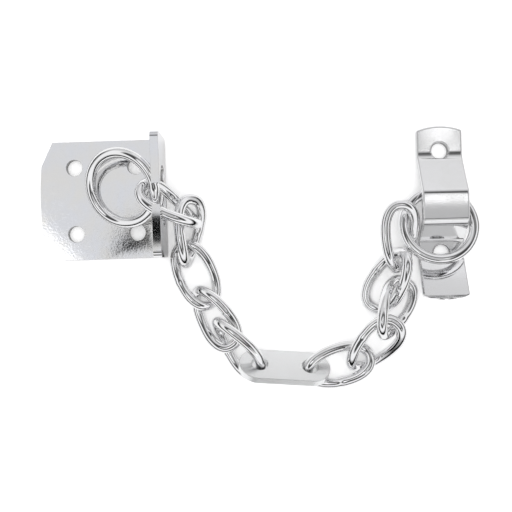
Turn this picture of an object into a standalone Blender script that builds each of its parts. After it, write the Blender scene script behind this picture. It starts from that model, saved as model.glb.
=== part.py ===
"""Door chain guard: a slotted angle bracket, a chain with a flat middle link, and a strap on a ring.

Everything lies as it would on a bench: the bracket flat on its back with its flange up, the chain slack
beside it and the strap on its feet.  +X runs from the bracket towards the strap, +Y along the flange and +Z up.
The origin is the centre of the face that the bracket's base plate is screwed down by.
"""

import math

import bmesh
import bpy
import numpy as np
from mathutils import Matrix, Vector

MM = 0.001
SPARE = 4 * MM  # how far a blank or a cutter runs past what it has to cover
ROUND_STEPS = 28  # sides of a drilled hole
HALF_STEPS = 14  # steps of a half-round end
BOW_STEPS = 8  # steps of a slightly bowed edge
BEND_STEPS = 5  # steps of a rounded corner or bend

# Chain wire, links and rings
WIRE_RADIUS = 2.0 * MM
LINK_LENGTH = 24.0 * MM  # of the wire's centreline
LINK_WIDTH = 12.8 * MM
LINK_SQUARENESS = 2.35  # 2 is an ellipse, more is fuller at the shoulders
LINK_TWIST = math.radians(25)  # each end of a link is turned this far about its length, opposite ways
LINK_STEPS = 36
RING_RADIUS = 13.3 * MM
RING_STEPS = 44
SEAT_STEP = 0.02  # radians either side of a seat, for the wire's direction there
WIRE_BEVEL_STEPS = 2
SMOOTH_UNDER = 40  # degrees: wire facets meeting at less than this are shaded smooth

# Flat middle link
PLATE_LENGTH = 34.5 * MM
PLATE_WIDTH = 14.2 * MM
PLATE_THICKNESS = 3.0 * MM
PLATE_HOLE_RADIUS = 3.1 * MM
PLATE_HOLE_PITCH = 19.0 * MM

# Bracket
SHEET = 3.0 * MM
BASE_LENGTH = 48.0 * MM
BASE_WIDTH = 45.0 * MM
BASE_BULGE = 0.7 * MM  # how far the outer edge bows out between its cut corners
CORNER_ALONG = 4.4 * MM  # cut corners of the outer edge
CORNER_ACROSS = 9.0 * MM
SCREW_HOLE_RADIUS = 3.1 * MM
SCREW_HOLES_X = (-10.8 * MM, 12.4 * MM)
SCREW_HOLES_Y = (-12.6 * MM, 12.6 * MM)
FLANGE_HEIGHT = 25.0 * MM
FLANGE_CORNER = 2.5 * MM
BEND_OUTER = 3.6 * MM
SLOT_LENGTH = 22.4 * MM
SLOT_BOTTOM = 6.6 * MM
SLOT_TOP = 21.4 * MM
NOTCH_WIDTH = 7.4 * MM

# Strap
STRAP_WIDTH = 17.5 * MM
STRAP_THICKNESS = 2.5 * MM
STRAP_LENGTH = 66.0 * MM
STRAP_END_BOW = 1.6 * MM
BRIDGE_HEIGHT = 8.2 * MM
TAIL_LIFT = 7.0 * MM
STRAP_BEND = 2.2 * MM
STRAP_HOLE_RADIUS = 3.0 * MM
STRAP_HOLES = (9.6 * MM, 48.4 * MM)  # distances from the upper end
STRAP_UNDERSIDE = (  # bends of the underside: distance from the upper end, height
    (12.3 * MM, 0.0),
    (26.3 * MM, BRIDGE_HEIGHT),
    (35.9 * MM, BRIDGE_HEIGHT),
    (42.4 * MM, 0.0),
    (51.5 * MM, 0.0),
)
STRAP_TOP = (128.5, 24.4)  # centre of the upper end, mm
STRAP_HEADING = -90.5  # degrees
STRAP_SEAT = 90  # degrees round the far ring to where its wire passes under the bridge

# How each chain piece lies: name, parent, the place on the parent's wire that it hangs from (degrees
# round the parent from its far end), its centre (mm), and its heading, tilt and roll (degrees).
CHAIN = (
    ("link_1", "bracket", None, (26.0, -3.5, 13.0), (-35, -10, -59)),
    ("ring_left", "link_1", 175, (8.5, 3.5, 11.5), (-48, 0, 28)),
    ("link_2", "link_1", 40, (32.5, -13.0, 8.0), (-97, -3, -61)),
    ("link_3", "link_2", 0, (34.5, -29.5, 7.0), (-68, -1, -5)),
    ("link_4", "link_3", 0, (41.0, -46.0, 6.5), (-60, 3, 32)),
    ("link_5", "link_4", 0, (49.0, -57.0, 7.5), (-55, -2, 52)),
    ("plate_link", "link_5", 25, (66.5, -65.0, 7.5), (-6, -6, -49)),
    ("link_6", "plate_link", None, (87.0, -65.0, 6.5), (15, 4, 3)),
    ("link_7", "link_6", 0, (100.5, -57.5, 9.5), (50, 24, 21)),
    ("link_8", "link_7", 30, (108.0, -43.5, 10.0), (55, -30, 30)),
    ("link_9", "link_8", 55, (106.5, -34.0, 6.5), (60, 20, -36)),
    ("link_10", "link_9", 35, (111.0, -17.5, 8.0), (88, 14, 27)),
    ("ring_right", "link_10", 285, (126.0, -13.5, 7.0), (-4, 2, -14)),
)


def clear_scene():
    """Remove every object, so that the model is all there is."""
    for thing in list(bpy.data.objects):
        bpy.data.objects.remove(thing, do_unlink=True)


def new_collection(name):
    group = bpy.data.collections.new(name)
    bpy.context.scene.collection.children.link(group)
    return group


def plated(name, shade, roughness):
    """Bright zinc or chrome plate over steel."""
    material = bpy.data.materials.new(name)
    material.use_nodes = True
    surface = material.node_tree.nodes["Principled BSDF"]
    surface.inputs["Base Color"].default_value = (shade, shade, shade * 1.01, 1.0)
    surface.inputs["Metallic"].default_value = 1.0
    surface.inputs["Roughness"].default_value = roughness
    return material


# ---------------------------------------------------------------- outlines and meshes


def arc(centre, radius, start, end, steps):
    """Points of an arc in the plane, between two angles in degrees."""
    angles = np.radians(np.linspace(start, end, steps + 1))
    return [(centre[0] + radius * math.cos(a), centre[1] + radius * math.sin(a)) for a in angles]


def circle(centre, radius):
    """Points of a whole circle in the plane."""
    return arc(centre, radius, 0, 360, ROUND_STEPS)[:-1]


def rounded(before, corner, after, radius, steps):
    """Points that round a corner between two straight runs."""
    corner = Vector(corner)
    to_before = (Vector(before) - corner).normalized()
    to_after = (Vector(after) - corner).normalized()
    half = 0.5 * to_before.angle(to_after)
    middle = corner + (to_before + to_after).normalized() * (radius / math.sin(half))
    start = corner + to_before * (radius / math.tan(half)) - middle
    end = corner + to_after * (radius / math.tan(half)) - middle
    turn = start.angle_signed(end)
    return [tuple(middle + Matrix.Rotation(-turn * k / steps, 2) @ start) for k in range(steps + 1)]


def outline_mesh(name, outlines, thickness):
    """A closed flat solid from plane outlines, centred on the plane; inner outlines are holes."""
    curve = bpy.data.curves.new(name, "CURVE")
    curve.dimensions = "2D"
    curve.fill_mode = "BOTH"
    curve.extrude = 0.5 * thickness
    for points in outlines:
        spline = curve.splines.new("POLY")
        spline.points.add(len(points) - 1)
        for point, (x, y) in zip(spline.points, points):
            point.co = (x, y, 0.0, 1.0)
        spline.use_cyclic_u = True
    return curve_to_mesh(curve)


def wire_mesh(name, points):
    """A closed loop of round wire along the points."""
    curve = bpy.data.curves.new(name, "CURVE")
    curve.dimensions = "3D"
    curve.bevel_depth = WIRE_RADIUS
    curve.bevel_resolution = WIRE_BEVEL_STEPS
    spline = curve.splines.new("POLY")
    spline.points.add(len(points) - 1)
    for point, place in zip(spline.points, points):
        point.co = (*place, 1.0)
    spline.use_cyclic_u = True
    return curve_to_mesh(curve)


def curve_to_mesh(curve):
    """The curve's surface as a mesh with its caps welded on."""
    name = curve.name
    holder = bpy.data.objects.new(name + "_curve", curve)
    bpy.context.scene.collection.objects.link(holder)
    bpy.context.view_layer.update()
    evaluated = holder.evaluated_get(bpy.context.evaluated_depsgraph_get())
    mesh = bpy.data.meshes.new_from_object(evaluated)
    bpy.data.objects.remove(holder, do_unlink=True)
    mesh.name = name
    shape = bmesh.new()
    shape.from_mesh(mesh)
    bmesh.ops.remove_doubles(shape, verts=shape.verts, dist=0.01 * MM)
    bmesh.ops.recalc_face_normals(shape, faces=shape.faces)
    shape.to_mesh(mesh)
    shape.free()
    return mesh


def add_object(name, mesh, group, matrix=Matrix(), material=None):
    thing = bpy.data.objects.new(name, mesh)
    thing.matrix_world = matrix
    group.objects.link(thing)
    if material:
        mesh.materials.clear()
        mesh.materials.append(material)
    return thing


def add_cutter(name, mesh, group, matrix=Matrix()):
    cutter = add_object(name, mesh, group, matrix)
    cutter.hide_render = True
    cutter.display_type = "WIRE"
    return cutter


def cut(thing, cutter, operation="DIFFERENCE"):
    boolean = thing.modifiers.new(cutter.name, "BOOLEAN")
    boolean.operation = operation
    boolean.solver = "EXACT"
    boolean.object = cutter


def shade(mesh):
    mesh.shade_smooth()
    mesh.set_sharp_from_angle(angle=math.radians(SMOOTH_UNDER))


# ---------------------------------------------------------------- placing


def lie(centre, heading, tilt, roll):
    """A piece's place: its length along local +X, tilt lifting that end, roll about it."""
    turn = (
        Matrix.Rotation(math.radians(heading), 4, "Z")
        @ Matrix.Rotation(math.radians(-tilt), 4, "Y")
        @ Matrix.Rotation(math.radians(roll), 4, "X")
    )
    return Matrix.Translation(Vector(centre) * MM) @ turn


def add_pivot(name, place, along, parent, group):
    """An empty on a joint, with its local Z along the joint's axis."""
    pivot = bpy.data.objects.new(name, None)
    pivot.empty_display_size = 5 * MM
    group.objects.link(pivot)
    matrix = Matrix.Translation(place) @ along.to_track_quat("Z", "Y").to_matrix().to_4x4()
    hang(pivot, parent, matrix)
    return pivot


def hang(child, parent, matrix):
    """Parent a child and put it at a world matrix."""
    child.parent = parent
    child.matrix_basis = world(parent).inverted() @ matrix


def world(thing):
    if thing is None:
        return Matrix()
    return world(thing.parent) @ thing.matrix_basis


# ---------------------------------------------------------------- chain pieces


def link_point(angle):
    """A point of a link's centreline, by its angle (radians) round the link from the end at +X."""
    power = 2 / LINK_SQUARENESS
    x = 0.5 * LINK_LENGTH * math.copysign(abs(math.cos(angle)) ** power, math.cos(angle))
    y = 0.5 * LINK_WIDTH * math.copysign(abs(math.sin(angle)) ** power, math.sin(angle))
    turn = -LINK_TWIST * x / (0.5 * LINK_LENGTH)
    return Vector((x, y * math.cos(turn), y * math.sin(turn)))


def ring_point(angle):
    return Vector((RING_RADIUS * math.cos(angle), RING_RADIUS * math.sin(angle), 0.0))


def even_points(path, count):
    """Points spaced evenly along a closed path."""
    angles = np.linspace(0, 2 * math.pi, 20 * count + 1)
    places = np.array([path(a) for a in angles])
    lengths = np.concatenate([[0], np.cumsum(np.linalg.norm(np.diff(places, axis=0), axis=1))])
    wanted = np.linspace(0, lengths[-1], count + 1)[:-1]
    return [path(a) for a in np.interp(wanted, lengths, angles)]


def path_of(name):
    return ring_point if name.startswith("ring") else link_point


def plate_mesh():
    """A flat bar with round ends and a hole near each end."""
    radius = 0.5 * PLATE_WIDTH
    reach = 0.5 * PLATE_LENGTH - radius
    edge = arc((reach, 0), radius, -90, 90, HALF_STEPS) + arc((-reach, 0), radius, 90, 270, HALF_STEPS)
    holes = [circle((side * 0.5 * PLATE_HOLE_PITCH, 0), PLATE_HOLE_RADIUS) for side in (-1, 1)]
    return outline_mesh("plate_link", [edge] + holes, PLATE_THICKNESS)


def wire_at(path, seat, place):
    """The point and direction of a placed wire at a seat, in degrees round it."""
    angle = math.radians(seat)
    along = path(angle + SEAT_STEP) - path(angle - SEAT_STEP)
    return place @ path(angle), (place.to_3x3() @ along).normalized()


def hinge_of(parent, seat, places):
    """Where a chain piece turns: the point and direction of the wire or rim that it hangs on."""
    if parent == "bracket":
        return Vector((0.5 * BASE_LENGTH - 0.5 * SHEET, 0, 0.5 * (SLOT_BOTTOM + SLOT_TOP))), Vector((0, 0, 1))
    if parent == "plate_link":
        rim = Vector((0.25 * (PLATE_LENGTH + PLATE_HOLE_PITCH + 2 * PLATE_HOLE_RADIUS), 0, 0))
        return places[parent] @ rim, places[parent].to_3x3() @ Vector((0, 1, 0))
    return wire_at(path_of(parent), seat, places[parent])


def add_chain(parts, pivots, bracket):
    """Every ring, link and the plate, each on the pivot that it turns about."""
    link_mesh = wire_mesh("link", even_points(link_point, LINK_STEPS))
    ring_mesh = wire_mesh("ring", even_points(ring_point, RING_STEPS))
    places = {name: lie(centre, *angles) for name, _, _, centre, angles in CHAIN}
    objects = {"bracket": bracket}
    for name, parent, seat, _, _ in CHAIN:
        if name == "plate_link":
            mesh, material = plate_mesh(), plated("plated_middle_link", 0.74, 0.2)
        elif name.startswith("ring"):
            mesh, material = ring_mesh.copy(), plated("plated_" + name, 0.8, 0.1)
        else:
            mesh, material = link_mesh.copy(), plated("plated_" + name, 0.78, 0.12)
        mesh.name = name
        shade(mesh)
        point, along = hinge_of(parent, seat, places)
        pivot = add_pivot(name + "_pivot", point, along, objects[parent], pivots)
        objects[name] = add_object(name, mesh, parts, material=material)
        hang(objects[name], pivot, places[name])
    return objects


# ---------------------------------------------------------------- bracket


def bracket_side():
    """The bent sheet seen along +Y: base plate, rounded bend and flange."""
    left, right = -0.5 * BASE_LENGTH, 0.5 * BASE_LENGTH
    inner = right - SHEET
    bend_inner = BEND_OUTER - SHEET
    points = [(left, 0)]
    points += rounded((left, 0), (right, 0), (right, FLANGE_HEIGHT), BEND_OUTER, BEND_STEPS)
    points += [(right, FLANGE_HEIGHT), (inner, FLANGE_HEIGHT)]
    points += rounded((inner, FLANGE_HEIGHT), (inner, SHEET), (left, SHEET), bend_inner, BEND_STEPS)
    points.append((left, SHEET))
    return points


def bracket_plan():
    """The base plate's outline: cut corners and a bowed edge at -X, straight sides."""
    half = 0.5 * BASE_WIDTH
    edge = -0.5 * BASE_LENGTH + BASE_BULGE
    chord = half - CORNER_ACROSS
    radius = (chord**2 + BASE_BULGE**2) / (2 * BASE_BULGE)
    sweep = math.degrees(math.asin(chord / radius))
    bow = arc((-0.5 * BASE_LENGTH + radius, 0), radius, 180 - sweep, 180 + sweep, BOW_STEPS)
    far = BASE_LENGTH
    return [(far, half), (edge + CORNER_ALONG, half)] + bow + [(edge + CORNER_ALONG, -half), (far, -half)]


def flange_front():
    """The flange seen along -X, with its two upper corners rounded."""
    half = 0.5 * BASE_WIDTH
    top = FLANGE_HEIGHT
    points = [(-half, -top), (half, -top)]
    points += rounded((half, 0), (half, top), (0, top), FLANGE_CORNER, BEND_STEPS)
    points += rounded((0, top), (-half, top), (-half, 0), FLANGE_CORNER, BEND_STEPS)
    return points


def slot_outline():
    """A slot with round ends."""
    radius = 0.5 * (SLOT_TOP - SLOT_BOTTOM)
    middle = 0.5 * (SLOT_TOP + SLOT_BOTTOM)
    reach = 0.5 * SLOT_LENGTH - radius
    right = arc((reach, middle), radius, -90, 90, HALF_STEPS)
    return right + arc((-reach, middle), radius, 90, 270, HALF_STEPS)


def add_bracket(parts, cutters):
    """The bent sheet, its four screw holes, and the flange's slot, which opens through the top."""
    upright = Matrix.Rotation(math.radians(90), 4, "X")  # plane outline x, y becomes x, z
    facing = Matrix.Rotation(math.radians(90), 4, "Z") @ upright  # and becomes y, z
    side = outline_mesh("bracket", [bracket_side()], BASE_WIDTH + SPARE)
    bracket = add_object("bracket", side, parts, upright, plated("plated_bracket", 0.72, 0.22))
    plan = outline_mesh("bracket_plan", [bracket_plan()], 2 * (FLANGE_HEIGHT + SPARE))
    cut(bracket, add_cutter("bracket_plan", plan, cutters), "INTERSECT")
    front = outline_mesh("flange_front", [flange_front()], BASE_LENGTH + SPARE)
    cut(bracket, add_cutter("flange_front", front, cutters, facing), "INTERSECT")
    at_flange = Matrix.Translation((0.5 * BASE_LENGTH - 0.5 * SHEET, 0, 0)) @ facing
    slot = outline_mesh("slot_cutter", [slot_outline()], SHEET + SPARE)
    cut(bracket, add_cutter("slot_cutter", slot, cutters, at_flange))
    half = 0.5 * NOTCH_WIDTH
    low, high = 0.5 * (SLOT_BOTTOM + SLOT_TOP), FLANGE_HEIGHT + SPARE
    opening = [(-half, low), (half, low), (half, high), (-half, high)]
    notch = outline_mesh("notch_cutter", [opening], SHEET + SPARE)
    cut(bracket, add_cutter("notch_cutter", notch, cutters, at_flange))
    for column, x in enumerate(SCREW_HOLES_X):
        for row, y in enumerate(SCREW_HOLES_Y):
            hole = outline_mesh("hole", [circle((x, y), SCREW_HOLE_RADIUS)], 2 * (SHEET + SPARE))
            cut(bracket, add_cutter(f"screw_hole_{column}_{row}", hole, cutters))
    return bracket


# ---------------------------------------------------------------- strap


def strap_side():
    """The strap seen from its side: foot, long riser, bridge, short riser, foot with a lifted tail."""
    bends = [(0.0, 0.0), *STRAP_UNDERSIDE, (STRAP_LENGTH, TAIL_LIFT)]
    under = [bends[0]]
    over = [(0.0, STRAP_THICKNESS)]
    for before, corner, after in zip(bends, bends[1:], bends[2:]):
        arriving = Vector(corner) - Vector(before)
        leaving = Vector(after) - Vector(corner)
        rises = arriving.angle_signed(leaving) < 0
        tight, loose = STRAP_BEND, STRAP_BEND + STRAP_THICKNESS
        under += rounded(before, corner, after, loose if rises else tight, BEND_STEPS)
        lifted = [offset_corner(before, corner, after), offset_end(corner, before), offset_end(corner, after)]
        over += rounded(lifted[1], lifted[0], lifted[2], tight if rises else loose, BEND_STEPS)
    last = Vector(bends[-1]) - Vector(bends[-2])
    under.append(bends[-1])
    over.append(tuple(Vector(bends[-1]) + normal(last) * STRAP_THICKNESS))
    return under + over[::-1]


def normal(run):
    return Vector((-run[1], run[0])).normalized()


def offset_end(corner, end):
    """The far end of a run that leaves a bend, moved to the strap's upper side."""
    run = Vector(end) - Vector(corner)
    side = normal(run) if run.x > 0 else -normal(run)
    return Vector(end) + side * STRAP_THICKNESS


def offset_corner(before, corner, after):
    """The upper side's corner above an underside corner."""
    first = normal(Vector(corner) - Vector(before))
    second = normal(Vector(after) - Vector(corner))
    middle = (first + second).normalized()
    return Vector(corner) + middle * (STRAP_THICKNESS / middle.dot(first))


def strap_plan():
    """The strap seen from above, with bowed ends."""
    half = 0.5 * STRAP_WIDTH
    radius = (half**2 + STRAP_END_BOW**2) / (2 * STRAP_END_BOW)
    sweep = math.degrees(math.asin(half / radius))
    near = arc((radius, 0), radius, 180 - sweep, 180 + sweep, BOW_STEPS)
    far = arc((STRAP_LENGTH - radius, 0), radius, -sweep, sweep, BOW_STEPS)
    return near + far


def add_strap(parts, pivots, cutters, ring, ring_place):
    """The strap that the far ring runs through, on its two feet."""
    upright = Matrix.Rotation(math.radians(90), 4, "X")
    place = (
        Matrix.Translation((STRAP_TOP[0] * MM, STRAP_TOP[1] * MM, 0))
        @ Matrix.Rotation(math.radians(STRAP_HEADING), 4, "Z")
    )
    point, along = wire_at(ring_point, STRAP_SEAT, ring_place)
    pivot = add_pivot("strap_pivot", point, along, ring, pivots)
    side = outline_mesh("strap", [strap_side()], STRAP_WIDTH + SPARE)
    side.transform(upright)
    strap = add_object("strap", side, parts, material=plated("plated_strap", 0.7, 0.18))
    hang(strap, pivot, place)
    plan = outline_mesh("strap_plan", [strap_plan()], 2 * (BRIDGE_HEIGHT + STRAP_THICKNESS + SPARE))
    cut(strap, add_cutter("strap_plan", plan, cutters, place), "INTERSECT")
    for number, distance in enumerate(STRAP_HOLES):
        hole = outline_mesh("hole", [circle((distance, 0), STRAP_HOLE_RADIUS)], 2 * (STRAP_THICKNESS + SPARE))
        cut(strap, add_cutter(f"strap_hole_{number}", hole, cutters, place))
    return strap


def main():
    clear_scene()
    parts = new_collection("door_chain_guard")
    pivots = new_collection("pivots")
    cutters = new_collection("cutters")
    bracket = add_bracket(parts, cutters)
    objects = add_chain(parts, pivots, bracket)
    ring = objects["ring_right"]
    add_strap(parts, pivots, cutters, ring, world(ring))
    bpy.context.view_layer.update()


main()
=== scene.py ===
import math

import bmesh
import bpy
import numpy as np
from mathutils import Matrix, Quaternion, Vector


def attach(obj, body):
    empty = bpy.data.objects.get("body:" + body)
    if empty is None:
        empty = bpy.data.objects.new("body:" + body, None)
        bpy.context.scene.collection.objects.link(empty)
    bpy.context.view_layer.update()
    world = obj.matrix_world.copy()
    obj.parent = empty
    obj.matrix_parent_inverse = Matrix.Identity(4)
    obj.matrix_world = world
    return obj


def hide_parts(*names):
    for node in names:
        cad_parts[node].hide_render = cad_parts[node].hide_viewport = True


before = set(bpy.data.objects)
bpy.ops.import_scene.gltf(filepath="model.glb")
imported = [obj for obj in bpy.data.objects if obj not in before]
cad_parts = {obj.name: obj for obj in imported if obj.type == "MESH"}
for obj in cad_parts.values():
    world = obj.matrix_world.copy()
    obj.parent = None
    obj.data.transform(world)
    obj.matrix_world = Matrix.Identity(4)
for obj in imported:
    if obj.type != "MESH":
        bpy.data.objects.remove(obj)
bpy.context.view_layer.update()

MM = 0.001

# ---------------------------------------------------------------- sizes, as in the CAD

WIRE_RADIUS = 2.0 * MM
LINK_LENGTH = 24.0 * MM
LINK_WIDTH = 12.8 * MM
LINK_SQUARENESS = 2.35
LINK_TWIST = math.radians(25)
RING_RADIUS = 13.3 * MM

PLATE_LENGTH = 34.5 * MM
PLATE_WIDTH = 14.2 * MM
PLATE_THICKNESS = 3.0 * MM
PLATE_HOLE_RADIUS = 3.1 * MM
PLATE_HOLE_PITCH = 19.0 * MM

SHEET = 3.0 * MM
BASE_LENGTH = 48.0 * MM
BASE_WIDTH = 45.0 * MM
BASE_BULGE = 0.7 * MM
CORNER_ALONG = 4.4 * MM
CORNER_ACROSS = 9.0 * MM
SCREW_HOLE_RADIUS = 3.1 * MM
SCREW_HOLES_X = (-10.8 * MM, 12.4 * MM)
SCREW_HOLES_Y = (-12.6 * MM, 12.6 * MM)
FLANGE_HEIGHT = 25.0 * MM
FLANGE_CORNER = 2.5 * MM
BEND_OUTER = 3.6 * MM
SLOT_LENGTH = 22.4 * MM
SLOT_BOTTOM = 6.6 * MM
SLOT_TOP = 21.4 * MM
NOTCH_WIDTH = 7.4 * MM

STRAP_WIDTH = 17.5 * MM
STRAP_THICKNESS = 2.5 * MM
STRAP_LENGTH = 66.0 * MM
STRAP_END_BOW = 1.6 * MM
BRIDGE_HEIGHT = 8.2 * MM
TAIL_LIFT = 7.0 * MM
STRAP_BEND = 2.2 * MM
STRAP_HOLE_RADIUS = 3.0 * MM
STRAP_HOLES = (9.6 * MM, 48.4 * MM)
STRAP_BENDS = (
    (0.0, 0.0),
    (12.3 * MM, 0.0),
    (26.3 * MM, BRIDGE_HEIGHT),
    (35.9 * MM, BRIDGE_HEIGHT),
    (42.4 * MM, 0.0),
    (51.5 * MM, 0.0),
    (STRAP_LENGTH, TAIL_LIFT),
)
STRAP_TOP = (128.5 * MM, 24.4 * MM)
STRAP_HEADING = -90.5

# How each wire piece and the middle plate lie, as in the CAD: centre (mm), heading, tilt, roll (degrees).
LIES = {
    "link_1": ((26.0, -3.5, 13.0), (-35, -10, -59)),
    "ring_left": ((8.5, 3.5, 11.5), (-48, 0, 28)),
    "link_2": ((32.5, -13.0, 8.0), (-97, -3, -61)),
    "link_3": ((34.5, -29.5, 7.0), (-68, -1, -5)),
    "link_4": ((41.0, -46.0, 6.5), (-60, 3, 32)),
    "link_5": ((49.0, -57.0, 7.5), (-55, -2, 52)),
    "plate_link": ((66.5, -65.0, 7.5), (-6, -6, -49)),
    "link_6": ((87.0, -65.0, 6.5), (15, 4, 3)),
    "link_7": ((100.5, -57.5, 9.5), (50, 24, 21)),
    "link_8": ((108.0, -43.5, 10.0), (55, -30, 30)),
    "link_9": ((106.5, -34.0, 6.5), (60, 20, -36)),
    "link_10": ((111.0, -17.5, 8.0), (88, 14, 27)),
    "ring_right": ((126.0, -13.5, 7.0), (-4, 2, -14)),
}

# ---------------------------------------------------------------- finish of the visual meshes

SPARE = 4 * MM  # how far a blank runs past what it has to cover
HOLE_STEPS = 56  # sides of a drilled hole
PLATE_END_STEPS = 40  # steps of the middle plate's half-round ends
SLOT_END_STEPS = 24
BOW_STEPS = 24  # steps of the base's bowed edge
CORNER_STEPS = 12
BEND_OUTER_STEPS = 16
BEND_INNER_STEPS = 8
STRAP_END_STEPS = 20
STRAP_BEND_STEPS = 10
STRAP_HOLLOW_BEND = 8.0 * MM  # the eased inside of the upper fold
MERGE_WITHIN = 0.002 * MM
FLAT_WITHIN = math.radians(0.6)  # faces closer in angle than this are one flat face
EDGE_ANGLE = math.radians(38)  # edges sharper than this are rolled
EDGE_SEGMENTS = 4
EDGE_ROUND = 0.38 * MM  # rolled edge of the pressed parts
STRAP_EDGE_ROUND = 0.8 * MM

LINK_RINGS = 168  # rings of faces along a link's wire
RING_RINGS = 200
WIRE_SIDES = 28
WIRE_SLACK = 0.02 * MM  # how far the wire's mean radius is under the CAD's
UNEVENNESS = 0.012 * MM
UNEVEN_WAVES = (2, 3, 5, 9)  # waves of unevenness in one turn round a piece
PATH_FINENESS = 20  # places tried for each ring of faces when they are spaced evenly
WELD_HEIGHT = 0.12 * MM
WELD_REACH = 1.1 * MM
WELD_LUMPS = 0.35  # how far the bead's height varies round the wire
LINK_WELDS = (0.25, 0.75)  # where the bead is, as a share of the way round: on alternate sides
RING_WELDS = {"ring_left": 0.13, "ring_right": 0.30}

# ---------------------------------------------------------------- plating

CLOUDS = 90.0  # scales of the plating's patterns
RIPPLES = 130.0
TEETH = 1500.0
SPECKS = 2600.0
HAIRS = (  # hairline scratches of two directions: scale, stretch, slant, noise where one starts and is full
    (520.0, (1.0, 14.0, 14.0), (0.2, 0.1, 0.7), (0.66, 0.72)),
    (460.0, (15.0, 1.0, 15.0), (0.1, 0.3, 0.5), (0.67, 0.73)),
)
CLOUD_TONES = (0.35, 0.65)  # noise where the clouds are all light and all dark
CLOUD_DULLNESS = (0.3, 0.7)  # noise where they are smoothest and dullest
HAIR_DEPTH = 0.2  # of the fine tooth
HAIR_ROUGHNESS = 0.05
SPECK_STRENGTH = 0.35
SPECK_NOISE = (0.62, 0.74)  # noise where a speck starts and is full
SPECK_TONE = 0.72  # of the dark tone
CALM_OVER = 2 * MM  # the height over which the fine tooth fades
CALM_TOOTH = 0.2  # what is left of it above

# Painted shade: the dark tone laid on the walls of the screw holes stands for the shade inside them, and a
# little for the duller cut steel.
HOLE_WALL_PAINTED_SHADE = (0.30, 0.30, 0.30)
HOLE_WALL_REACH = (3.25 * MM, 3.4 * MM)  # distance from the hole's axis: still wall, all plate
HOLE_WALL_FACING = (0.25, 0.6)  # how far upwards a surface faces: still wall, all plate
BRACKET_HOLES = ((0.8 * MM, 0, 0), (11.6 * MM, 12.6 * MM, 0))  # middle of the holes, half their pitch
STRAP_HOLES_AT = ((128.25 * MM, -4.6 * MM, 0), (0, 19.4 * MM, 0))

COOL, WARM = (0.84, 0.85, 0.88), (0.86, 0.85, 0.83)

# ---------------------------------------------------------------- studio

MIDDLE = (0.055, -0.02, 0.0)  # of the object, on the floor
WHITE = (1.0, 1.0, 1.0)

# Brightness of the tent by the height of a direction: 0 is level, 1 straight up.
TENT = (
    (0.0, 0.0),
    (0.24, 0.015),
    (0.36, 0.5),
    (0.46, 0.95),
    (0.72, 0.95),
    (0.785, 0.07),
    (0.90, 0.07),
    (0.94, 0.54),
    (1.0, 0.54),
)
TENT_BLUE = 1.01  # the tent's blue against its red and green
# Round patches overhead: slopes along X and Y for one up, reach of the full and faded parts, colour.
PATCHES = (
    ((-0.19, 0.095), (0.16, 0.22), (0.78, 0.785, 0.80)),
    ((-0.138, 0.008), (0.036, 0.052), (0.0, 0.0, 0.0)),
)
FAR_WALL = (0.66, 0.66, 0.67)
FAR_WALL_LEAN = (0.35, 0.75)  # how far a direction leans along Y where the wall starts and is full
FAR_WALL_STRENGTH = 0.85

FLOOR_HALF = 3.0
FLOOR_DROP = 0.2 * MM
FLOOR_TONE = (0.92, 0.92, 0.92)
FLOOR_ROUGHNESS = 0.9
FLOOR_GLOW = 0.32

# Soft lights: place, what each faces, size, the brightness that it adds, and its turn (degrees).
FILL = ((0.055, -0.02, 0.9), MIDDLE, (1.2, 1.2), 1.6, 0)
SOFT_BOXES = {
    "soft_box_foot": ((0.530, 0.275, 1.5), (0.530, 0.275, 0.0), (0.09, 0.10), 0.75, 0),
    "soft_box_bridge": ((0.54, 0.13, 1.5), (0.54, 0.13, 0.0), (0.20, 0.08), 0.75, 0),
    "soft_box_far": ((0.43, 1.06, 0.42), (0.1285, 0.02, 0.0), (0.8, 0.8), 0.17, 0),
    "soft_box_near": ((0.44, -0.63, 0.99), (0.1285, -0.031, 0.005), (0.34, 0.34), 0.6, 0),
    "soft_box_left": ((-0.54, -0.15, 1.5), (-0.54, -0.15, 0.0), (0.44, 0.60), 0.7, 45),
}

IMAGE_SIZE = 512
CAMERA_PLACE = (0.0549, -0.0237, 0.280)
CAMERA_TURN = -1.84  # degrees
CAMERA_LENS = 51.2
CAMERA_SENSOR = 36.0
CAMERA_SHIFT = (6 / IMAGE_SIZE, 2 / IMAGE_SIZE)  # as a share of the frame
CAMERA_CLIP = 0.01


def lie(centre, heading, tilt, roll):
    """A piece's place: its length along local +X, tilt lifting that end, roll about it."""
    turn = (
        Matrix.Rotation(math.radians(heading), 4, "Z")
        @ Matrix.Rotation(math.radians(-tilt), 4, "Y")
        @ Matrix.Rotation(math.radians(roll), 4, "X")
    )
    return Matrix.Translation(Vector(centre) * MM) @ turn


# ---------------------------------------------------------------- node trees


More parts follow.
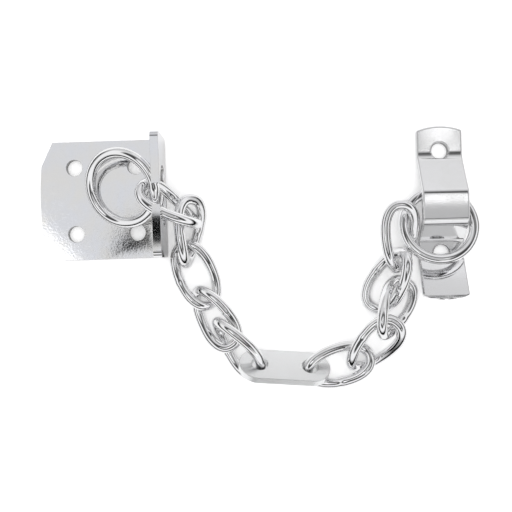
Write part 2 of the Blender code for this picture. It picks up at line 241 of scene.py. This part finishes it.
class Nodes:
    """Short names for building the node tree of a material or a world."""

    def __init__(self, owner, coordinates):
        owner.use_nodes = True
        self.tree = owner.node_tree
        self.place = self.add("ShaderNodeTexCoord").outputs[coordinates]

    def add(self, kind, **settings):
        node = self.tree.nodes.new(kind)
        for name, value in settings.items():
            setattr(node, name, value)
        return node

    def link(self, source, target):
        self.tree.links.new(source, target)

    def feed(self, sockets, values):
        """Links each value that is another node's output, and sets the others."""
        for socket, value in zip(sockets, values):
            if isinstance(value, bpy.types.NodeSocket):
                self.link(value, socket)
            else:
                socket.default_value = value

    def split(self, vector):
        node = self.add("ShaderNodeSeparateXYZ")
        self.link(vector, node.inputs["Vector"])
        return node.outputs

    def stretched(self, scale, turn):
        mapping = self.add("ShaderNodeMapping")
        mapping.inputs["Scale"].default_value = scale
        mapping.inputs["Rotation"].default_value = turn
        self.link(self.place, mapping.inputs["Vector"])
        return mapping.outputs["Vector"]

    def noise(self, scale, detail, rough, vector=None, warp=0.0):
        node = self.add("ShaderNodeTexNoise")
        node.inputs["Scale"].default_value = scale
        node.inputs["Detail"].default_value = detail
        node.inputs["Roughness"].default_value = rough
        node.inputs["Distortion"].default_value = warp
        self.link(vector or self.place, node.inputs["Vector"])
        return node.outputs["Fac"]

    def ramp(self, value, low, high, out_low=0.0, out_high=1.0, kind="LINEAR"):
        node = self.add("ShaderNodeMapRange", clamp=True, interpolation_type=kind)
        node.inputs["From Min"].default_value = low
        node.inputs["From Max"].default_value = high
        node.inputs["To Min"].default_value = out_low
        node.inputs["To Max"].default_value = out_high
        self.link(value, node.inputs["Value"])
        return node.outputs["Result"]

    def math(self, operation, a, b):
        node = self.add("ShaderNodeMath", operation=operation)
        self.feed(node.inputs, (a, b))
        return node.outputs["Value"]

    def vector(self, operation, *values, output="Vector"):
        node = self.add("ShaderNodeVectorMath", operation=operation)
        self.feed(node.inputs, values)
        return node.outputs[output]

    def mix_colour(self, factor, a, b):
        node = self.add("ShaderNodeMix", data_type="RGBA")
        self.link(factor, node.inputs["Factor"])
        colours = [(*value, 1.0) if isinstance(value, tuple) else value for value in (a, b)]
        self.feed(node.inputs[6:8], colours)
        return node.outputs[2]

    def bump(self, height, distance, base=None):
        node = self.add("ShaderNodeBump")
        node.inputs["Distance"].default_value = distance
        node.inputs["Strength"].default_value = 1.0
        self.link(height, node.inputs["Height"])
        if base is not None:
            self.link(base, node.inputs["Normal"])
        return node.outputs["Normal"]


# ---------------------------------------------------------------- materials


def painted_hole_shade(n, middle, half_pitch):
    """1 on the walls of the screw holes, where shade is painted; the holes stand at plus and minus
    half_pitch about the middle.
    """
    folded = n.vector("ABSOLUTE", n.vector("SUBTRACT", n.place, middle))
    apart = n.vector("SUBTRACT", folded, half_pitch)
    distance = n.vector("LENGTH", n.vector("MULTIPLY", apart, (1.0, 1.0, 0.0)), output="Value")
    inside = n.ramp(distance, *HOLE_WALL_REACH, 1.0, 0.0)
    facing = n.split(n.add("ShaderNodeTexCoord").outputs["Normal"])["Z"]
    return n.math("MULTIPLY", inside, n.ramp(facing, *HOLE_WALL_FACING, 1.0, 0.0))


def hairlines(n):
    """1 along fine scratches of two directions."""
    lines = []
    for scale, stretch, slant, (start, full) in HAIRS:
        noise = n.noise(scale, detail=2.0, rough=0.5, vector=n.stretched(stretch, slant))
        lines.append(n.ramp(noise, start, full))
    return n.math("MAXIMUM", *lines)


def plated(name, light, dark, smooth, dull, wave, grain, tooth=0.003 * MM, holes=None, calm_above=None):
    """Bright plating over steel: clouded tone, fine grain, hairline scratches and a slow ripple.

    smooth and dull are its least and most roughness, wave and tooth the heights of its ripple and grain.
    """
    material = bpy.data.materials.new(name)
    n = Nodes(material, "Object")
    surface = n.tree.nodes["Principled BSDF"]
    surface.inputs["Metallic"].default_value = 1.0
    clouds = n.noise(CLOUDS, detail=3.0, rough=0.55, warp=0.6)
    specks = n.ramp(n.noise(SPECKS, detail=2.0, rough=0.6), *SPECK_NOISE)
    hairs = hairlines(n)

    tone = n.mix_colour(n.ramp(clouds, *CLOUD_TONES), light, dark)
    speck_colour = tuple(SPECK_TONE * c for c in dark)
    tone = n.mix_colour(n.math("MULTIPLY", specks, SPECK_STRENGTH), tone, speck_colour)
    # Painted shade: the walls of the screw holes are darkened for the shade inside them, and a little for
    # the duller cut steel.
    if holes:
        tone = n.mix_colour(painted_hole_shade(n, *holes), tone, HOLE_WALL_PAINTED_SHADE)
    n.link(tone, surface.inputs["Base Color"])

    rough = n.ramp(clouds, *CLOUD_DULLNESS, smooth, dull)
    rough = n.math("ADD", rough, n.math("MULTIPLY", specks, grain))
    rough = n.math("ADD", rough, n.math("MULTIPLY", hairs, HAIR_ROUGHNESS))
    n.link(rough, surface.inputs["Roughness"])

    ripple = n.bump(n.noise(RIPPLES, detail=2.0, rough=0.45), wave)
    teeth = n.noise(TEETH, detail=2.0, rough=0.5)
    height = n.math("SUBTRACT", teeth, n.math("MULTIPLY", hairs, HAIR_DEPTH))
    if calm_above is not None:
        calm = n.ramp(n.split(n.place)["Z"], calm_above, calm_above + CALM_OVER, 1.0, CALM_TOOTH)
        height = n.math("MULTIPLY", height, calm)
    n.link(n.bump(height, tooth, ripple), surface.inputs["Normal"])
    return material


# ---------------------------------------------------------------- meshes


def arc(centre, radius, start, end, steps):
    angles = np.radians(np.linspace(start, end, steps + 1))
    return [(centre[0] + radius * math.cos(a), centre[1] + radius * math.sin(a)) for a in angles]


def circle(centre, radius):
    return arc(centre, radius, 0, 360, HOLE_STEPS)[:-1]


def rounded(before, corner, after, radius, steps):
    """Points that round a corner between two straight runs."""
    corner = Vector(corner)
    to_before = (Vector(before) - corner).normalized()
    to_after = (Vector(after) - corner).normalized()
    half = 0.5 * to_before.angle(to_after)
    middle = corner + (to_before + to_after).normalized() * (radius / math.sin(half))
    start = corner + to_before * (radius / math.tan(half)) - middle
    end = corner + to_after * (radius / math.tan(half)) - middle
    turn = start.angle_signed(end)
    return [tuple(middle + Matrix.Rotation(-turn * k / steps, 2) @ start) for k in range(steps + 1)]


def outline_mesh(name, outlines, thickness):
    """A closed flat solid from plane outlines, centred on the plane; inner outlines are holes."""
    curve = bpy.data.curves.new(name, "CURVE")
    curve.dimensions = "2D"
    curve.fill_mode = "BOTH"
    curve.extrude = 0.5 * thickness
    for points in outlines:
        spline = curve.splines.new("POLY")
        spline.points.add(len(points) - 1)
        for point, (x, y) in zip(spline.points, points):
            point.co = (x, y, 0.0, 1.0)
        spline.use_cyclic_u = True
    holder = bpy.data.objects.new(name + "_curve", curve)
    bpy.context.scene.collection.objects.link(holder)
    bpy.context.view_layer.update()
    mesh = bpy.data.meshes.new_from_object(holder.evaluated_get(bpy.context.evaluated_depsgraph_get()))
    bpy.data.objects.remove(holder, do_unlink=True)
    mesh.name = name
    shape = bmesh.new()
    shape.from_mesh(mesh)
    bmesh.ops.remove_doubles(shape, verts=shape.verts, dist=MERGE_WITHIN)
    bmesh.ops.recalc_face_normals(shape, faces=shape.faces)
    shape.to_mesh(mesh)
    shape.free()
    return mesh


def new_object(name, mesh, matrix=Matrix()):
    thing = bpy.data.objects.new(name, mesh)
    bpy.context.scene.collection.objects.link(thing)
    thing.matrix_world = matrix
    return thing


def finished(name, mesh, cutters, edge=EDGE_ROUND):
    """The mesh with its cutters applied, flat areas cleaned, edges rolled, as one plain mesh."""
    raw = new_object(name + "_raw", mesh)
    holders = []
    for number, (cutter, operation) in enumerate(cutters):
        holder = new_object(f"{name}_cutter_{number}", cutter)
        holders.append(holder)
        boolean = raw.modifiers.new("cut", "BOOLEAN")
        boolean.operation = operation
        boolean.solver = "EXACT"
        boolean.object = holder
    clean = raw.modifiers.new("clean", "DECIMATE")
    clean.decimate_type = "DISSOLVE"
    clean.angle_limit = FLAT_WITHIN
    roll = raw.modifiers.new("roll", "BEVEL")
    roll.width = edge
    roll.use_clamp_overlap = edge <= EDGE_ROUND  # clamping would shrink a wider roll to a bend's facets
    roll.segments = EDGE_SEGMENTS
    roll.limit_method = "ANGLE"
    roll.angle_limit = EDGE_ANGLE
    roll.harden_normals = True
    bpy.context.view_layer.update()
    result = bpy.data.meshes.new_from_object(raw.evaluated_get(bpy.context.evaluated_depsgraph_get()))
    result.name = name
    for thing in holders + [raw]:
        bpy.data.objects.remove(thing, do_unlink=True)
    return result


def add_piece(name, mesh, material, node, place=Matrix()):
    """A visible piece that stands for a CAD node and rides on its body."""
    mesh.transform(place)
    piece = new_object(name, mesh)
    mesh.materials.clear()
    mesh.materials.append(material)
    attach(piece, node)
    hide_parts(node)


# ---------------------------------------------------------------- wire


def link_point(angle):
    """A point of a link's centreline, by its angle (radians) round the link from the end at +X."""
    power = 2 / LINK_SQUARENESS
    x = 0.5 * LINK_LENGTH * math.copysign(abs(math.cos(angle)) ** power, math.cos(angle))
    y = 0.5 * LINK_WIDTH * math.copysign(abs(math.sin(angle)) ** power, math.sin(angle))
    turn = -LINK_TWIST * x / (0.5 * LINK_LENGTH)
    return Vector((x, y * math.cos(turn), y * math.sin(turn)))


def ring_point(angle):
    return Vector((RING_RADIUS * math.cos(angle), RING_RADIUS * math.sin(angle), 0.0))


def even_points(path, count):
    """Points spaced evenly along a closed path, and the path's length."""
    angles = np.linspace(0, 2 * math.pi, PATH_FINENESS * count + 1)
    places = np.array([path(a) for a in angles])
    lengths = np.concatenate([[0], np.cumsum(np.linalg.norm(np.diff(places, axis=0), axis=1))])
    wanted = np.linspace(0, lengths[-1], count + 1)[:-1]
    return [path(a) for a in np.interp(wanted, lengths, angles)], lengths[-1]


def wire_mesh(name, path, count, weld_at, seed):
    """Closed round wire with a dressed weld bead, and the slight unevenness of drawn and bent wire."""
    points, length = even_points(path, count)
    tangents = [(points[(k + 1) % count] - points[k - 1]).normalized() for k in range(count)]
    side = tangents[0].orthogonal().normalized()
    sides = []
    for tangent in tangents:
        side = (side - tangent * side.dot(tangent)).normalized()
        sides.append(side.copy())
    closing = (side - tangents[0] * side.dot(tangents[0])).normalized()
    gap = math.atan2(tangents[0].dot(closing.cross(sides[0])), closing.dot(sides[0]))
    generator = np.random.default_rng(seed)
    phases = generator.uniform(0, 2 * math.pi, len(UNEVEN_WAVES))
    shape = bmesh.new()
    loops = []
    for k in range(count):
        along = k / count
        distance = min(abs(along - weld_at), 1 - abs(along - weld_at)) * length
        bead = WELD_HEIGHT * math.exp(-((distance / WELD_REACH) ** 2))
        waves = sum(math.sin(2 * math.pi * m * along + p) for m, p in zip(UNEVEN_WAVES, phases))
        up = tangents[k].cross(sides[k])
        loop = []
        for step in range(WIRE_SIDES):
            around = 2 * math.pi * step / WIRE_SIDES + gap * along
            lumpy = bead * (1 + WELD_LUMPS * math.sin(3 * around + phases[1]))
            radius = WIRE_RADIUS - WIRE_SLACK + UNEVENNESS * waves + lumpy
            outwards = sides[k] * math.cos(around) + up * math.sin(around)
            loop.append(shape.verts.new(points[k] + outwards * radius))
        loops.append(loop)
    for loop, following in zip(loops, loops[1:] + loops[:1]):
        for step in range(WIRE_SIDES):
            after = (step + 1) % WIRE_SIDES
            shape.faces.new((loop[step], loop[after], following[after], following[step]))
    bmesh.ops.recalc_face_normals(shape, faces=shape.faces)
    mesh = bpy.data.meshes.new(name)
    shape.to_mesh(mesh)
    shape.free()
    mesh.shade_smooth()
    return mesh


def add_wires(link_material, ring_material):
    for number, (node, (centre, angles)) in enumerate(LIES.items()):
        if node == "plate_link":
            continue
        name = node + "_wire"
        if node in RING_WELDS:
            mesh = wire_mesh(name, ring_point, RING_RINGS, RING_WELDS[node], number)
            material, slot = ring_material, "ring_wire"
        else:
            mesh = wire_mesh(name, link_point, LINK_RINGS, LINK_WELDS[number % 2], number)
            material, slot = link_material, "link_wire"
        add_piece(name, mesh, material, node, lie(centre, *angles))


# ---------------------------------------------------------------- middle plate


def add_middle_plate(material):
    radius = 0.5 * PLATE_WIDTH
    reach = 0.5 * PLATE_LENGTH - radius
    edge = arc((reach, 0), radius, -90, 90, PLATE_END_STEPS)
    edge += arc((-reach, 0), radius, 90, 270, PLATE_END_STEPS)
    holes = [circle((side * 0.5 * PLATE_HOLE_PITCH, 0), PLATE_HOLE_RADIUS) for side in (-1, 1)]
    mesh = finished("middle_plate", outline_mesh("middle_plate", [edge] + holes, PLATE_THICKNESS), [])
    centre, angles = LIES["plate_link"]
    add_piece("middle_plate", mesh, material, "plate_link", lie(centre, *angles))


# ---------------------------------------------------------------- bracket


def bracket_side():
    """The bracket from its side: the base, the bend and the flange."""
    left, right = -0.5 * BASE_LENGTH, 0.5 * BASE_LENGTH
    inner = right - SHEET
    points = [(left, 0)]
    points += rounded((left, 0), (right, 0), (right, FLANGE_HEIGHT), BEND_OUTER, BEND_OUTER_STEPS)
    points += [(right, FLANGE_HEIGHT), (inner, FLANGE_HEIGHT)]
    inside = BEND_OUTER - SHEET
    points += rounded((inner, FLANGE_HEIGHT), (inner, SHEET), (left, SHEET), inside, BEND_INNER_STEPS)
    points.append((left, SHEET))
    return points


def bracket_plan():
    """The bracket from above: a bowed outer edge between two cut corners."""
    half = 0.5 * BASE_WIDTH
    edge = -0.5 * BASE_LENGTH + BASE_BULGE
    chord = half - CORNER_ACROSS
    radius = (chord**2 + BASE_BULGE**2) / (2 * BASE_BULGE)
    sweep = math.degrees(math.asin(chord / radius))
    bow = arc((-0.5 * BASE_LENGTH + radius, 0), radius, 180 - sweep, 180 + sweep, BOW_STEPS)
    far = BASE_LENGTH
    return [(far, half), (edge + CORNER_ALONG, half)] + bow + [(edge + CORNER_ALONG, -half), (far, -half)]


def flange_front():
    """The flange from its front, with rounded top corners."""
    half = 0.5 * BASE_WIDTH
    top = FLANGE_HEIGHT
    points = [(-half, -top), (half, -top)]
    points += rounded((half, 0), (half, top), (0, top), FLANGE_CORNER, CORNER_STEPS)
    points += rounded((0, top), (-half, top), (-half, 0), FLANGE_CORNER, CORNER_STEPS)
    return points


def slot_with_notch():
    """The slot and the notch above it as one outline."""
    radius = 0.5 * (SLOT_TOP - SLOT_BOTTOM)
    middle = 0.5 * (SLOT_TOP + SLOT_BOTTOM)
    reach = 0.5 * SLOT_LENGTH - radius
    half = 0.5 * NOTCH_WIDTH
    above = FLANGE_HEIGHT + SHEET
    points = arc((reach, middle), radius, -90, 90, SLOT_END_STEPS)
    points += [(half, SLOT_TOP), (half, above), (-half, above), (-half, SLOT_TOP)]
    points += arc((-reach, middle), radius, 90, 270, SLOT_END_STEPS)
    return points


def add_bracket(material):
    upright = Matrix.Rotation(math.radians(90), 4, "X")
    facing = Matrix.Rotation(math.radians(90), 4, "Z") @ upright
    side = outline_mesh("side", [bracket_side()], BASE_WIDTH + SPARE)
    side.transform(upright)
    plan = outline_mesh("plan", [bracket_plan()], 4 * FLANGE_HEIGHT)
    front = outline_mesh("front", [flange_front()], 4 * BASE_LENGTH)
    front.transform(facing)
    slot = outline_mesh("slot", [slot_with_notch()], 3 * SHEET)
    slot.transform(Matrix.Translation((0.5 * BASE_LENGTH - 0.5 * SHEET, 0, 0)) @ facing)
    cutters = [(plan, "INTERSECT"), (front, "INTERSECT"), (slot, "DIFFERENCE")]
    for x in SCREW_HOLES_X:
        for y in SCREW_HOLES_Y:
            hole = outline_mesh("hole", [circle((x, y), SCREW_HOLE_RADIUS)], 4 * SHEET)
            cutters.append((hole, "DIFFERENCE"))
    mesh = finished("bracket_plate", side, cutters)
    add_piece("bracket_plate", mesh, material, "bracket")


# ---------------------------------------------------------------- strap


def normal(run):
    return Vector((-run[1], run[0])).normalized()


def strap_side():
    """The strap from its side: foot, long riser, bridge, short riser, foot with a lifted tail."""
    under = [STRAP_BENDS[0]]
    over = [(0.0, STRAP_THICKNESS)]
    for before, corner, after in zip(STRAP_BENDS, STRAP_BENDS[1:], STRAP_BENDS[2:]):
        arriving = Vector(corner) - Vector(before)
        leaving = Vector(after) - Vector(corner)
        rises = arriving.angle_signed(leaving) < 0
        tight = STRAP_HOLLOW_BEND if corner == STRAP_BENDS[1] else STRAP_BEND
        loose = tight + STRAP_THICKNESS
        under += rounded(before, corner, after, loose if rises else tight, STRAP_BEND_STEPS)
        middle = (normal(arriving) + normal(leaving)).normalized()
        lifted = Vector(corner) + middle * (STRAP_THICKNESS / middle.dot(normal(arriving)))
        above = tight if rises else loose
        over += rounded(lifted - arriving, lifted, lifted + leaving, above, STRAP_BEND_STEPS)
    last = Vector(STRAP_BENDS[-1]) - Vector(STRAP_BENDS[-2])
    under.append(STRAP_BENDS[-1])
    over.append(tuple(Vector(STRAP_BENDS[-1]) + normal(last) * STRAP_THICKNESS))
    return under + over[::-1]


def strap_plan():
    """The strap from above: both ends slightly bowed."""
    half = 0.5 * STRAP_WIDTH
    radius = (half**2 + STRAP_END_BOW**2) / (2 * STRAP_END_BOW)
    sweep = math.degrees(math.asin(half / radius))
    near = arc((radius, 0), radius, 180 - sweep, 180 + sweep, STRAP_END_STEPS)
    far = arc((STRAP_LENGTH - radius, 0), radius, -sweep, sweep, STRAP_END_STEPS)
    return near + far


def add_strap(material):
    heading = Matrix.Rotation(math.radians(STRAP_HEADING), 4, "Z")
    place = Matrix.Translation((*STRAP_TOP, 0)) @ heading
    side = outline_mesh("side", [strap_side()], STRAP_WIDTH + SPARE)
    side.transform(Matrix.Rotation(math.radians(90), 4, "X"))
    cutters = [(outline_mesh("plan", [strap_plan()], 10 * BRIDGE_HEIGHT), "INTERSECT")]
    for distance in STRAP_HOLES:
        hole = outline_mesh("hole", [circle((distance, 0), STRAP_HOLE_RADIUS)], 4 * STRAP_THICKNESS)
        cutters.append((hole, "DIFFERENCE"))
    mesh = finished("strap_plate", side, cutters, STRAP_EDGE_ROUND)
    add_piece("strap_plate", mesh, material, "strap", place)


# ---------------------------------------------------------------- stage


def add_floor():
    """A white board. Its own glow shows to the camera only, so it is dimmer in the plating."""
    mesh = bpy.data.meshes.new("floor")
    shape = bmesh.new()
    bmesh.ops.create_grid(shape, x_segments=1, y_segments=1, size=FLOOR_HALF)
    shape.to_mesh(mesh)
    shape.free()
    floor = new_object("floor", mesh, Matrix.Translation((MIDDLE[0], MIDDLE[1], -FLOOR_DROP)))
    material = bpy.data.materials.new("white_board")
    material.use_nodes = True
    tree = material.node_tree
    surface = tree.nodes["Principled BSDF"]
    surface.inputs["Base Color"].default_value = (*FLOOR_TONE, 1.0)
    surface.inputs["Roughness"].default_value = FLOOR_ROUGHNESS
    surface.inputs["Emission Color"].default_value = (*WHITE, 1.0)
    glow = tree.nodes.new("ShaderNodeMath")
    glow.operation = "MULTIPLY"
    glow.inputs[1].default_value = FLOOR_GLOW
    tree.links.new(tree.nodes.new("ShaderNodeLightPath").outputs["Is Camera Ray"], glow.inputs[0])
    tree.links.new(glow.outputs["Value"], surface.inputs["Emission Strength"])
    mesh.materials.append(material)


def add_world():
    """A studio tent: dark gap above the table, bright walls, a dark seam, a grey top, a grey far wall."""
    world = bpy.data.worlds.new("studio")
    bpy.context.scene.world = world
    n = Nodes(world, "Generated")
    direction = n.split(n.place)
    tent = n.add("ShaderNodeValToRGB")
    stops = tent.color_ramp.elements
    for number, (height, level) in enumerate(TENT):
        stop = stops[number] if number < 2 else stops.new(height)
        stop.position = height
        stop.color = (level, level, level * TENT_BLUE, 1.0)
    n.link(direction["Z"], tent.inputs["Fac"])
    wall = n.ramp(direction["Y"], *FAR_WALL_LEAN, 0.0, FAR_WALL_STRENGTH, "SMOOTHSTEP")
    colour = n.mix_colour(wall, tent.outputs["Color"], FAR_WALL)

    up = n.add("ShaderNodeCombineXYZ")
    n.feed(up.inputs, [direction["Z"]] * 3)
    slope = n.vector("DIVIDE", n.place, up.outputs["Vector"])
    for centre, (full, faded), patch in PATCHES:
        apart = n.vector("DISTANCE", slope, (*centre, 1.0), output="Value")
        outside = n.ramp(apart, full, faded, kind="SMOOTHSTEP")
        colour = n.mix_colour(outside, patch, colour)

    to_camera = n.add("ShaderNodeLightPath").outputs["Is Camera Ray"]
    n.link(n.mix_colour(to_camera, colour, WHITE), n.tree.nodes["Background"].inputs["Color"])


def add_panel(name, place, target, size, brightness, turn, in_reflections=True):
    """A rectangular soft light that adds a given brightness and is turned about the line to its target."""
    light = bpy.data.lights.new(name, "AREA")
    light.shape = "RECTANGLE"
    light.size, light.size_y = size
    light.energy = brightness * math.pi * size[0] * size[1]
    holder = bpy.data.objects.new(name, light)
    bpy.context.scene.collection.objects.link(holder)
    holder.location = place
    facing = (Vector(target) - Vector(place)).to_track_quat("-Z", "Y")
    holder.rotation_euler = (facing @ Quaternion((0, 0, 1), math.radians(turn))).to_euler()
    holder.visible_glossy = in_reflections


def add_camera():
    camera = bpy.data.cameras.new("camera")
    camera.sensor_width = CAMERA_SENSOR
    camera.lens = CAMERA_LENS
    camera.shift_x, camera.shift_y = CAMERA_SHIFT
    camera.clip_start = CAMERA_CLIP
    holder = bpy.data.objects.new("camera", camera)
    bpy.context.scene.collection.objects.link(holder)
    holder.location = CAMERA_PLACE
    holder.rotation_euler = (0, 0, math.radians(CAMERA_TURN))
    bpy.context.scene.camera = holder


add_camera()
add_world()
add_floor()
add_panel("fill", *FILL, in_reflections=False)
for box_name, box in SOFT_BOXES.items():
    add_panel(box_name, *box)

bracket_plating = plated(
    "bracket_plating",
    light=COOL,
    dark=WARM,
    smooth=0.04,
    dull=0.075,
    wave=0.014 * MM,
    grain=0.05,
    tooth=0.007 * MM,
    holes=BRACKET_HOLES,
    calm_above=4 * MM,
)
strap_plating = plated(
    "strap_plating",
    light=(0.87, 0.87, 0.88),
    dark=(0.84, 0.84, 0.84),
    smooth=0.06,
    dull=0.11,
    wave=0.01 * MM,
    grain=0.08,
    holes=STRAP_HOLES_AT,
)
middle_plate_plating = plated(
    "middle_plate_plating",
    light=(0.88, 0.89, 0.89),
    dark=(0.85, 0.85, 0.85),
    smooth=0.20,
    dull=0.27,
    wave=0.004 * MM,
    grain=0.03,
)
link_plating = plated(
    "link_plating",
    light=(0.92, 0.92, 0.93),
    dark=(0.87, 0.87, 0.87),
    smooth=0.03,
    dull=0.08,
    wave=0.004 * MM,
    grain=0.05,
)
ring_plating = plated(
    "ring_plating",
    light=(0.93, 0.93, 0.94),
    dark=(0.88, 0.88, 0.88),
    smooth=0.025,
    dull=0.06,
    wave=0.003 * MM,
    grain=0.04,
)

add_bracket(bracket_plating)
add_strap(strap_plating)
add_middle_plate(middle_plate_plating)
add_wires(link_plating, ring_plating)

bpy.context.scene.view_settings.view_transform = "Standard"
